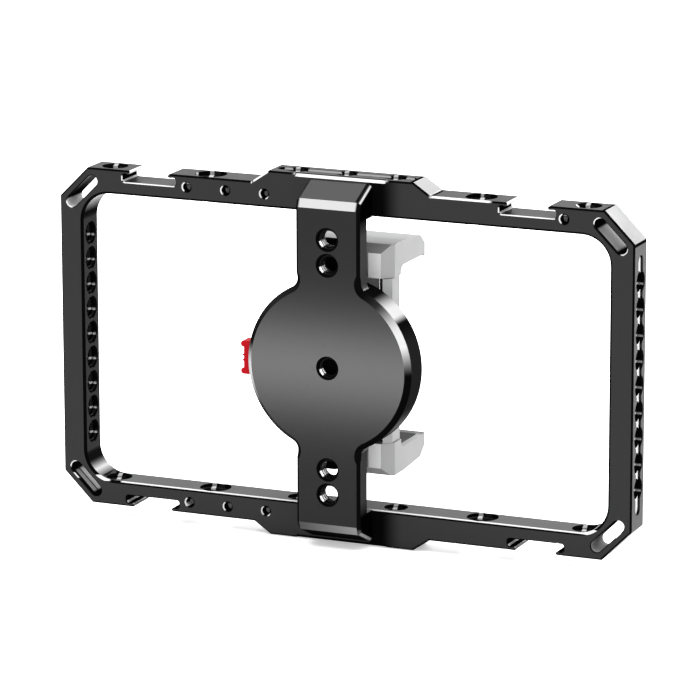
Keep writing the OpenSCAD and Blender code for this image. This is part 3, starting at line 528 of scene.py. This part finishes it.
def frame_black():
    s = finish_metal("frame_black", (0.009, 0.009, 0.0092), 0.33, tint=1.1)
    p = Spot(s)
    bores = frame_bores(s, p)
    pins, pin_highlights = blind_pins(s, p)
    slot, slot_light_and_shade, slot_highlights = strap_slots(s, p)
    hollow, hollow_light_and_shade = hollow_corners(s, p)
    hook, lip_highlights = shoe_lips(s, p)
    grooves = painted_groove_highlights(s, p)
    flat_top = s.above(p.nz, 0.99, 0.003)
    # Painted highlight: the humps' sloped ends are painted light.
    lit_hump_slope = s.all(s.within(p.z, RAIL_Z + 0.15, HUMP_Z - 0.05, 0.1), s.within(p.nx, 0.4, 0.7, CRISP),
                       p.wall)
    # Painted shadow: the frame's front beside the strap is painted dark.
    strap_shadow = s.all(s.below(p.ny, -0.99, FINE), s.ramp(p.x, 9.0, 10.0, 0.0, 1.0),
                         s.ramp(p.x, 13.5, 21.0, 1.0, 0.0, True))
    # Painted shade: chamfers, bores, blind holes, slots, the hollows under the lips, the strip beside the
    # strap and the rims at flat faces' ends are painted near black.
    dark = s.any(p.sloped, bores, pins, slot, hook, strap_shadow, brinks(s, p, flat_top))
    # Painted highlights on chamfers, groove lines, blind holes, slot ends and lip spots.
    bright = s.any(painted_bevel_highlights(s, p), grooves, pin_highlights, slot_highlights, lip_highlights)
    # Painted light: the lower rail's upward face inside the window is painted lighter.
    lit_shelf = s.all(flat_top, s.within(p.z, -46.3, -45.8, 0.05), s.without(dark))
    side_face = s.all(s.above(p.nx, 0.99, 0.003), s.above(p.x, SIDE_X - 0.7, 0.1))
    colour = s.mix(lit_shelf, s.colour, (0.036, 0.036, 0.0365))
    colour = s.mix(lit_hump_slope, colour, (0.28,) * 3)
    colour = s.mix(dark, colour, PAINTED_BORE_SHADE)
    colour = s.mix(s.all(slot, p.wall), colour, slot_light_and_shade)
    colour = s.mix(s.all(bores, painted_bore_dash(s, p)), colour, (0.32,) * 3)
    colour = s.mix(hollow, colour, hollow_light_and_shade)
    s.paint(s.mix(bright, colour, (0.55,) * 3))
    s.quieten(s.any(dark, hollow, grooves, lit_hump_slope, s.times(side_face, 0.52)), 0.13)
    return s


# The bridge's looks
def disc_chamfer(s, p, angle, reach):
    """Painted reflections on the disc's chamfer: one softbox at the upper right and one at the left, over a
    dark base that is also painted.
    """
    right_start, right_full, right_end = -0.5, 19.0, 40.0
    left, low_left, upper_left, right_tail = -174.0, -132.0, 132.0, 50.0
    chamfer = s.all(s.within(p.ny, -0.75, -0.65, CRISP),
                    s.within(reach, DISC_R - DISC_CHAMFER, DISC_R + 0.2, 0.05))
    from_left = s.wrap(s.minus(angle, left), 360.0)
    from_low_left = s.wrap(s.minus(angle, low_left), 360.0)
    upper_right = s.times(s.swell(angle, right_start, right_full, 1.6), s.below(angle, right_end, 13.0))
    tone = s.mix(s.bell(from_low_left, 0.0, 25.0), grey(10), grey(46))
    tone = s.mix(s.bell(angle, upper_left, 22.0), tone, grey(38))
    tone = s.mix(s.bell(angle, right_tail, 8.0), tone, grey(48))
    tone = s.mix(upper_right, tone, grey(245))
    tone = s.mix(s.within(from_left, -11.0, 14.0, 9.0, 14.0), tone, grey(226))
    return chamfer, tone


def disc_rim(s, p, angle, reach):
    """Painted reflections on the disc's rim: one softbox brightly and another faintly, over a dark base
    that is also painted.
    """
    front_half, faint, top_start = 25.0, -40.0, 78.0
    bright_angles = (37.0, 51.5)
    rim = s.all(p.wall, s.within(reach, DISC_R - 0.1, DISC_R + 0.2, CRISP))
    tone = s.mix(s.within(angle, -front_half, front_half, 8.0), grey(14), grey(34))
    tone = s.mix(s.bell(angle, faint, 9.5), tone, grey(100))
    tone = s.mix(s.within(angle, *bright_angles, 3.0, 7.0), tone, grey(240))
    return rim, s.mix(s.above(angle, top_start, 10.0), tone, grey(30))


def strap_foot(s, p):
    """The bevels at the strap's two feet: masks for the light ones, painted as highlights, and for the dark
    ones beside them, painted as shade.
    """
    upper_x, lit_slope_x = (-9.4, 9.3), (-9.5, 8.75)
    edge_x, edge_z = (9.95, 10.4), (49.0, 57.0)
    foot_bevel = s.within(p.ny, -0.97, -0.85, 0.01)
    upper = s.all(foot_bevel, s.within(p.nz, 0.2, 0.6, 0.05), s.within(p.x, *upper_x, 0.35))
    lower = s.all(foot_bevel, s.within(p.nz, -0.6, -0.2, 0.05))
    slope = s.all(s.below(s.size(p.nx), SQUARE, CRISP), s.within(p.nz, 0.85, 0.95, CRISP))
    slope_edge = s.all(s.within(p.nz, 0.4, 0.8, 0.05), s.within(p.nx, 0.4, 0.9, 0.05),
                       s.within(p.z, *edge_z, 0.3), s.within(p.x, *edge_x, 0.08))
    bright = s.any(upper, slope_edge, lower)
    border = s.all(slope, s.without(s.within(p.x, *lit_slope_x, 0.3)))
    return bright, s.without(s.any(bright, slope)), border, lower


def bridge_black():
    painted_glow_width, bore_r = 15.3, 3.8
    lit_streak_x, lit_streak_z = (9.8, 10.5), (-57.0, -50.5)
    s = finish_metal("bridge_black", (0.010, 0.010, 0.0105), 0.30)
    p = Spot(s)
    angle = s.times(s.math("ARCTAN2", p.z, p.x), 180 / math.pi)
    reach = s.reach(p.x, p.z)
    sloped = s.within(p.ny, -SLOPE_HIGH, -0.30, CRISP)
    # Painted sheen: the front faces are painted lighter in the middle and darker towards both ends.
    front = s.ramp(p.ny, -0.999, -0.99, 1.0, 0.0)
    s.colour = s.mix(front, s.colour, s.mix(s.bell(p.z, 0.0, painted_glow_width), grey(28), grey(112)))
    bright, plain, border, lower = strap_foot(s, p)
    chamfer, chamfer_reflection = disc_chamfer(s, p, angle, reach)
    rim, rim_reflection = disc_rim(s, p, angle, reach)
    # Painted shade: plain chamfers and the borders of the foot slope are painted near black.
    dark = s.any(s.all(sloped, plain), border)
    side = s.all(s.above(p.nx, 0.95, CRISP), s.without(rim))
    # Painted light and shade: the side faces are painted grey, near black towards the ends; the lower foot
    # bevel is painted lighter towards the right.
    side_light_and_shade = s.mix(s.ramp(p.az, 41.3, WINDOW_Z + 0.45, 0.0, 1.0), grey(69), grey(3))
    lower_bevel_light = s.mix(s.ramp(p.x, -10.0, 9.0, 0.0, 1.0), grey(88), grey(152))
    lower_bevel_light = s.mix(s.within(p.x, -10.5, 10.0, 0.5, 1.0), grey(45), lower_bevel_light)
    # Painted highlight: a light streak on the lower right foot bevel.
    lit_streak = s.all(s.within(p.nx, 0.4, 0.9, 0.05), s.within(p.nz, -0.8, -0.3, 0.05), sloped,
                   s.within(p.z, *lit_streak_z, 0.6), s.within(p.x, *lit_streak_x, 0.15))
    # Painted shade: the strap's bores are painted near black.
    bores = s.all(s.discs(p.x, p.z, (*STRAP_BORES, 0), bore_r), s.within(p.y, DISC_Y + 0.03, 5.0, CRISP))
    colour = s.mix(dark, s.colour, PAINTED_DEEP_SHADE)
    colour = s.mix(bright, colour, (0.37,) * 3)
    colour = s.mix(side, colour, side_light_and_shade)
    colour = s.mix(lower, colour, lower_bevel_light)
    colour = s.mix(s.times(lit_streak, 0.8), colour, (0.4,) * 3)
    # Painted reflections on the disc's chamfer and rim.
    colour = s.mix(chamfer, colour, chamfer_reflection)
    colour = s.mix(bores, colour, PAINTED_BORE_SHADE)
    s.paint(s.mix(rim, colour, rim_reflection))
    s.quieten(s.any(dark, chamfer, rim, side, bores, lower), 0.12)
    return s


# The other looks
def frame_thread_black():
    s = finish_metal("thread_black", (0.03, 0.03, 0.0305), 0.24, level=0.04)
    # Painted shade and highlight: the threads are painted near black as shade inside the bores, with a
    # painted light dash down the far side.
    s.paint(s.mix(painted_bore_dash(s, Spot(s)), (0.004,) * 3, (0.5,) * 3))
    return s


def bridge_thread_black():
    """Painted highlight: each turn is painted white at the lower left of the bore, where it would catch the
    light, and the rest near black as shade.
    """
    s = finish_metal("bridge_thread", (0.03, 0.03, 0.0305), 0.24, level=0.04)
    x, z = s.place(0), s.place(2)
    half_gap = (STRAP_BORES[3] - STRAP_BORES[2]) / 2
    from_middle = s.minus(s.size(z), STRAP_BORES[2] + half_gap)
    in_pair = s.minus(from_middle, s.times(s.math("SIGN", from_middle), half_gap))
    in_disc = s.below(s.size(z), 10.0, 0.5)
    in_strap = s.times(s.times(s.math("SIGN", z), in_pair), s.without(in_disc))
    angle = s.math("ARCTAN2", s.plus(s.times(z, in_disc), in_strap), x)
    line = s.all(s.within(angle, -2.85, -2.2, 0.08), s.below(s.facing(1), -0.25, 0.05))
    s.paint(s.mix(line, PAINTED_DEEP_SHADE, (1.0,) * 3))
    return s


def clamp_silver():
    """Pale metal, with light and shade painted by the way each face looks, and shade painted behind the
    strap's bores, which are seen from the camera's side.
    """
    s = finish_metal("clamp_silver", (0.33, 0.33, 0.333), 0.42, edge_wear_and_glint=(0.75, 0.75, 0.76), level=0.4)
    x, y, z = s.standing(0), s.standing(1), s.standing(2)
    nx, ny = s.facing(0), s.facing(1)
    colour = s.mix(0.55, s.colour, (0.05,) * 3)
    # Painted light and shade: faces looking to the front are painted lighter, faces looking to the right
    # darker.
    colour = s.mix(s.below(ny, -0.9, 0.03), colour, (0.62, 0.62, 0.625))
    colour = s.mix(s.within(nx, 0.4, 0.9, 0.03), colour, (0.25, 0.25, 0.253))
    colour = s.mix(s.above(nx, 0.9, 0.03), colour, (0.19, 0.19, 0.193))
    # Painted shade: where the camera looks through the strap's bores, the jaws are painted near black.
    depth = s.minus(y, DISC_Y)
    aside = s.plus(x, s.times(depth, math.tan(AZIMUTH)))
    below = s.plus(z, s.times(depth, math.tan(ELEVATION) / math.cos(AZIMUTH)))
    shade_behind_bores = s.all(s.discs(aside, below, STRAP_BORES, 4.0), s.below(y, 3.2, 0.05))
    s.paint(s.mix(shade_behind_bores, colour, PAINTED_DEEP_SHADE))
    s.quieten(shade_behind_bores, 0.25)
    return s


def swivel_alu():
    """Turned metal, painted dark as shade where it closes the disc's bore."""
    s = finish_metal("swivel_alu", (0.35, 0.35, 0.36), 0.30, 0.9)
    face = s.all(s.disc(s.place(0), s.place(2), 4.6), s.below(s.facing(1), -0.95, 0.01))
    s.paint(s.mix(face, s.colour, PAINTED_DEEP_SHADE))
    s.quieten(face, 0.4)
    s.link(s.ramp(face, 0.0, 1.0, 1.0, 0.0), s.bsdf.inputs["Metallic"])
    return s


frame_look = frame_black()
bridge_look = bridge_black()
frame_thread = frame_thread_black()
bridge_thread = bridge_thread_black()
silver = clamp_silver()
alu = swivel_alu()
red = finish_metal("button_red", (0.25, 0.001, 0.004), 0.36, edge_wear_and_glint=(0.5, 0.1, 0.12), level=0.05)
steel = finish_metal("latch_steel", (0.55, 0.55, 0.56), 0.28, 1.0)
spring = finish_metal("spring_steel", (0.50, 0.50, 0.51), 0.22, 1.0)
chrome = finish_metal("rod_chrome", (0.75, 0.75, 0.76), 0.12, 1.0)
screw = finish_metal("black_screw", (0.02, 0.02, 0.021), 0.28, 0.3, edge_wear_and_glint=(0.3, 0.3, 0.31))
cover = finish_metal("cover_dark", (0.02, 0.02, 0.021), 0.36, edge_wear_and_glint=(0.25, 0.25, 0.26))
white = finish_metal("washer_white", (0.4, 0.4, 0.39), 0.45, grain=0.2)
pads = rubber("pad_rubber", (0.02, 0.02, 0.021))
LOOKS = {
    "cage_frame": frame_look, "bridge": bridge_look, "bridge_screws": screw, "socket_cover": cover,
    "cover_screws": screw, "swivel_washer": white, "release_button": red, "latch_ring": steel,
    "latch_pins": steel, "swivel_base": alu, "clamp_housing": silver, "housing_screws": steel,
    "upper_jaw": silver, "lower_jaw": silver, "upper_rods": chrome, "lower_rods": chrome,
    "upper_clips": screw, "lower_clips": screw, "latch_springs": spring, "upper_springs": spring,
    "lower_springs": spring, "back_pad": pads, "upper_pad": pads, "lower_pad": pads,
}
for name, shader in LOOKS.items():
    mesh = nodes[name].data
    mesh.materials.clear()
    mesh.materials.append(shader.mat)


# Pieces
def piece(name, bm, shader, body, smooth=True):
    mesh = bpy.data.meshes.new(name)
    bm.normal_update()
    bm.to_mesh(mesh)
    bm.free()
    obj = bpy.data.objects.new(name, mesh)
    bpy.context.scene.collection.objects.link(obj)
    mesh.materials.append(shader.mat)
    for p in mesh.polygons:
        p.use_smooth = smooth
    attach(obj, body)
    return obj


def sweep(bm, rings, close_ends=True):
    """Joins rings of points into one tube."""
    rows = [[bm.verts.new(p) for p in ring] for ring in rings]
    count = len(rows[0])
    for a, b in zip(rows, rows[1:]):
        for j in range(count):
            k = (j + 1) % count
            bm.faces.new((a[j], a[k], b[k], b[j]))
    if close_ends:
        bm.faces.new(list(reversed(rows[0])))
        bm.faces.new(rows[-1])


def frame_of(axis):
    axis = Vector(axis).normalized()
    side = Vector((0, 0, 1)) if abs(axis.z) < 0.9 else Vector((1, 0, 0))
    u = axis.cross(side).normalized()
    return axis, u, axis.cross(u)


def thread(bm, mouth, axis, r, pitch, start, stop, steps=18):
    """A helical ridge that stands inwards from a bore of radius r; lengths in millimetres."""
    axis, u, v = frame_of(axis)
    deep = 0.52 * pitch
    turns = (stop - start) / pitch
    n = int(turns * steps)
    rings = []
    for k in range(n + 1):
        a = 2 * math.pi * k / steps
        s = start + (stop - start) * k / n
        fade = min(1.0, k / (0.5 * steps), (n - k) / (0.5 * steps))
        fade = fade * fade * (3 - 2 * fade)
        radial = u * math.cos(a) + v * math.sin(a)
        ring = []
        crest = r - deep * fade
        for rr, ds in ((r + 0.04, -0.47), (crest, -0.18), (crest, 0.18), (r + 0.04, 0.47)):
            ring.append(mouth + (radial * rr + axis * (s + ds * pitch)) * MM)
        rings.append(ring)
    sweep(bm, rings)


def through_threads():
    bm = bmesh.new()
    for s in (-1, 1):
        for i in range(SIDE_COUNT):
            mouth = mm(s * WINDOW_X, 0, (i - SIDE_COUNT // 2) * SIDE_PITCH)
            thread(bm, mouth, (s, 0, 0), *QUARTER_INCH, 0.9, 6.4)
    for sz in (-1, 1):
        up = (0, 0, sz)
        large = UPPER_LARGE_X if sz > 0 else (-LARGE_BORE_X, LARGE_BORE_X)
        for x in (-CORNER_BORE_X, CORNER_BORE_X):
            thread(bm, mm(x, 0, sz * WINDOW_Z), up, *QUARTER_INCH, 1.2, 6.4)
        for x in large:
            thread(bm, mm(x, 0, sz * WINDOW_Z), up, *THREE_EIGHTHS, 1.0, 6.7)
        for x in (-HUMP_BORE_X, 0, HUMP_BORE_X):
            thread(bm, mm(x, 0, sz * WINDOW_Z), up, *QUARTER_INCH, 0.9, 10.2)
    return piece("frame_threads", bm, frame_thread, "cage")


def bridge_threads():
    bm = bmesh.new()
    for z in STRAP_BORES:
        thread(bm, mm(0, DISC_Y, z), (0, 1, 0), *QUARTER_INCH, 0.9, 5.4)
    thread(bm, mm(0, DISC_Y, 0), (0, 1, 0), *QUARTER_INCH, 0.9, 4.1)
    return piece("bridge_threads", bm, bridge_thread, "cage")


def coil_rings(r, wire, length, turns, steps=20, sides=10):
    """Rings of a coil standing on z = 0, in millimetres."""
    n = int(turns * steps)
    rings = []
    for k in range(n + 1):
        a = 2 * math.pi * k / steps
        z = wire + (length - 2 * wire) * k / n
        ring = []
        for j in range(sides):
            b = 2 * math.pi * j / sides
            rr = r + wire * math.cos(b)
            ring.append(Vector((rr * math.cos(a), rr * math.sin(a), z + wire * math.sin(b))))
        rings.append(ring)
    return rings


def springs(name, node, body, places, turn, size):
    """Coils that take a spring node's place and ride on the given body."""
    bm = bmesh.new()
    for place in places:
        rings = [[place + (turn @ p) * MM for p in ring] for ring in coil_rings(*size)]
        sweep(bm, rings)
    obj = piece(name, bm, spring, body)
    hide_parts(node)
    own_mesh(obj)
    return obj


def rib_line(length, pitch, deep):
    """Points along a pad's outer face: how far along, and how far below the crests."""
    margin, rounding = 0.9, 0.22
    count = max(3, int((length - 2 * margin) / pitch))
    step = (length - 2 * margin) / count
    line = [(0.0, rounding), (0.07, 0.07), (rounding, 0.0), (margin - 0.2, 0.0)]
    for i in range(count):
        for share in (0.12, 0.25, 0.38, 0.5, 0.62, 0.75, 0.88):
            dip = deep * (0.5 - 0.5 * math.cos(2 * math.pi * share)) ** 0.6
            line.append((margin + (i + share) * step, dip))
        line.append((margin + (i + 1) * step, 0.0))
    return line + [(length - rounding, 0.0), (length - 0.07, 0.07), (length, rounding)]


def ribbed_pad(name, node, body, face_axis, face_sign, pitch=1.5, deep=0.3):
    """A rubber pad that fills its node's box and has rounded ribs across its outer face."""
    bm = bmesh.new()
    lo, hi = [Vector(corner) / MM - Vector((0, 0, HUMP_Z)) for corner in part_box(node)]
    run_axis = 2 if face_axis == 1 else 1
    length = hi[run_axis] - lo[run_axis]
    outer, inner = (hi, lo) if face_sign > 0 else (lo, hi)

    def point(x, run, depth):
        p = [x, 0.0, 0.0]
        p[run_axis] = lo[run_axis] + run
        p[face_axis] = depth
        return mm(*p)

    columns = [(lo[0], 0.22), (lo[0] + 0.07, 0.07), (lo[0] + 0.22, 0.0), (hi[0] - 0.22, 0.0),
               (hi[0] - 0.07, 0.07), (hi[0], 0.22)]
    rows = []
    for run, dip in rib_line(length, pitch, deep):
        depths = [(x, outer[face_axis] - face_sign * max(dip, edge)) for x, edge in columns]
        rows.append([bm.verts.new(point(x, run, depth)) for x, depth in depths])
    start, end = [[bm.verts.new(point(x, run, inner[face_axis])) for x in (lo[0], hi[0])]
                  for run in (0.0, length)]
    for a, b in zip(rows, rows[1:]):
        for j in range(len(a) - 1):
            bm.faces.new((a[j], a[j + 1], b[j + 1], b[j]))
    bm.faces.new([start[0]] + [row[0] for row in rows] + [end[0]])
    bm.faces.new([end[1]] + [row[-1] for row in reversed(rows)] + [start[1]])
    bm.faces.new([start[1]] + list(reversed(rows[0])) + [start[0]])
    bm.faces.new([end[0]] + rows[-1] + [end[1]])
    bm.faces.new([start[0], end[0], end[1], start[1]])
    bmesh.ops.recalc_face_normals(bm, faces=bm.faces)
    obj = piece(name, bm, pads, body, smooth=False)
    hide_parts(node)
    return obj


# Radius, wire, length and turns of the coils; where the jaws' coils stand and end
JAW_COIL = (1.75, 0.2, 25.8, 9)
LATCH_COIL = (0.65, 0.15, 5.5, 7)
ROD_Y = 3.0
UPPER_ROD_X = 10.6
LOWER_ROD_X = 5.4
COIL_END = 12.8
LATCH_Y = -8.8
LATCH_COIL_X = 14.9
LATCH_COIL_Z = 3.4

upright = Matrix.Identity(3)
hanging = Matrix.Rotation(math.pi, 3, "X")
sideways = Matrix.Rotation(math.pi / 2, 3, "Y")
through_threads()
bridge_threads()
springs("upper_coils", "upper_springs", "swivel",
        [mm(s * UPPER_ROD_X, ROD_Y, -COIL_END) for s in (-1, 1)], upright, JAW_COIL)
springs("lower_coils", "lower_springs", "swivel",
        [mm(s * LOWER_ROD_X, ROD_Y, COIL_END) for s in (-1, 1)], hanging, JAW_COIL)
springs("latch_coils", "latch_springs", "cage",
        [mm(LATCH_COIL_X, LATCH_Y, s * LATCH_COIL_Z) for s in (-1, 1)], sideways, LATCH_COIL)
ribbed_pad("back_rubber", "back_pad", "swivel", 1, 1)
ribbed_pad("upper_rubber", "upper_pad", "upper_grip", 2, -1, 1.4, 0.25)
ribbed_pad("lower_rubber", "lower_pad", "lower_grip", 2, 1, 1.4, 0.25)


# Stage
def floor():
    """A plain pale floor with a little glow of its own."""
    half, under = 4.0, -0.0002
    bm = bmesh.new()
    square = ((-half, -half), (half, -half), (half, half), (-half, half))
    bm.faces.new([bm.verts.new((x, y, under)) for x, y in square])
    mesh = bpy.data.meshes.new("floor")
    bm.to_mesh(mesh)
    bm.free()
    obj = bpy.data.objects.new("floor", mesh)
    bpy.context.scene.collection.objects.link(obj)
    s = Shader("floor_pale")
    value(s.bsdf, "Base Color", (0.93, 0.93, 0.93, 1.0))
    value(s.bsdf, "Roughness", 0.9)
    value(s.bsdf, "Specular IOR Level", 0.1)
    value(s.bsdf, "Emission Color", (1.0, 1.0, 1.0, 1.0))
    value(s.bsdf, "Emission Strength", 0.4)
    mesh.materials.append(s.mat)


def light(name, place, target, width, height, power):
    data = bpy.data.lights.new(name, "AREA")
    data.shape = "RECTANGLE"
    data.size = width
    data.size_y = height
    data.energy = power
    obj = bpy.data.objects.new(name, data)
    bpy.context.scene.collection.objects.link(obj)
    obj.location = place
    obj.rotation_euler = (Vector(target) - Vector(place)).to_track_quat("-Z", "Y").to_euler()


def studio():
    bpy.context.scene.view_settings.view_transform = "Standard"
    world = bpy.data.worlds.new("studio")
    bpy.context.scene.world = world
    world.use_nodes = True
    background = world.node_tree.nodes["Background"]
    value(background, "Color", (1.0, 1.0, 1.0, 1.0))
    value(background, "Strength", 1.0)
    light("top_soft", (0, 0, 2.2), (0, 0, 0), 3.4, 3.4, 130.0)
    light("rim_soft", (0.21, 1.34, 0.69), (0, 0, 0.06), 0.72, 0.52, 19.0)


def camera_from_photo():
    """Looks from the photograph's place, with its picture's middle shifted as there."""
    back = Vector((math.sin(AZIMUTH) * math.cos(ELEVATION), -math.cos(AZIMUTH) * math.cos(ELEVATION),
                   math.sin(ELEVATION)))
    right = Vector((math.cos(AZIMUTH), math.sin(AZIMUTH), 0))
    up = back.cross(right)
    x_axis = right * math.cos(ROLL) + up * math.sin(ROLL)
    y_axis = up * math.cos(ROLL) - right * math.sin(ROLL)
    data = bpy.data.cameras.new("camera")
    data.sensor_width = SENSOR_MM
    data.lens = FOCAL_PX * SENSOR_MM / PHOTO_PX
    data.shift_x = SHIFT_X_PX / PHOTO_PX
    data.shift_y = SHIFT_Y_PX / PHOTO_PX
    data.clip_start = 0.05
    data.clip_end = 20.0
    obj = bpy.data.objects.new("camera", data)
    bpy.context.scene.collection.objects.link(obj)
    pose = Matrix((x_axis, y_axis, back)).transposed().to_4x4()
    pose.translation = EYE
    obj.matrix_world = pose
    bpy.context.scene.camera = obj


floor()
studio()
camera_from_photo()
